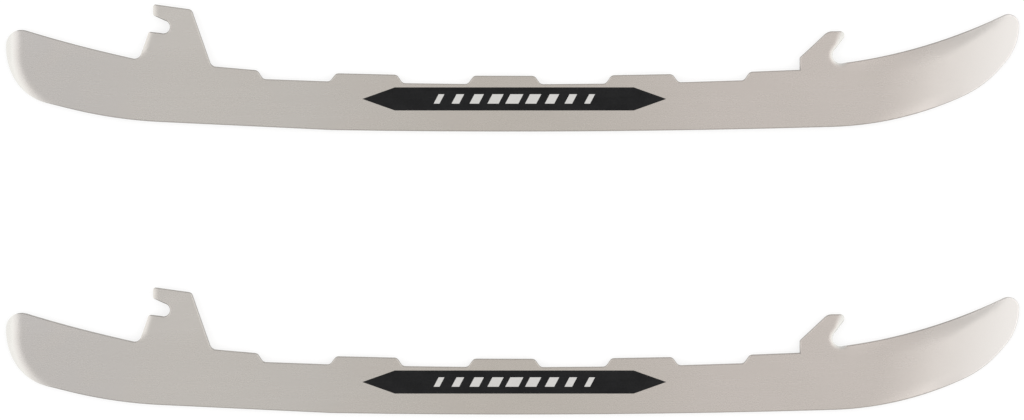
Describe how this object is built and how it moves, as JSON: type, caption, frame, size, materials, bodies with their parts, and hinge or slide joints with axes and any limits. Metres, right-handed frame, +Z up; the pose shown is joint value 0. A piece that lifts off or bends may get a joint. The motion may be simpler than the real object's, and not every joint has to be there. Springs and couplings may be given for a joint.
{
  "type": "pair of ice hockey skate runners",
  "caption": "Loose ice hockey skate runners: flat steel blades with a notched heel tab, stepped upper edge, toe hook and a dark print, which lock into a blade holder.",
  "frame": {"origin": "on the surface that the runners lie on, at the middle of the pair's box", "axes": "+X along the runners towards their toes, +Y across the pair from the running edges towards the holder side, +Z up through the thickness"},
  "size_m": [0.28, 0.1132, 0.003],
  "materials": {
    "runner_steel": "satin, ground lengthwise",
    "print_ink": "flat black print",
    "print_light": "flat light grey print"
  },
  "bodies": {
    "left_blade": {"left_runner": "runner_steel", "left_front_print": "print_ink", "left_front_print_bars": "print_light", "left_back_print": "print_ink", "left_back_print_bars": "print_light"},
    "right_blade": {"right_runner": "runner_steel", "right_front_print": "print_ink", "right_front_print_bars": "print_light", "right_back_print": "print_ink", "right_back_print_bars": "print_light"}
  },
  "joints": [
    {"name": "right_blade_lift", "type": "slide", "parent": "left_blade", "child": "right_blade", "axis": [0, 0, 1], "range_m": [0, 0.06]}
  ]
}
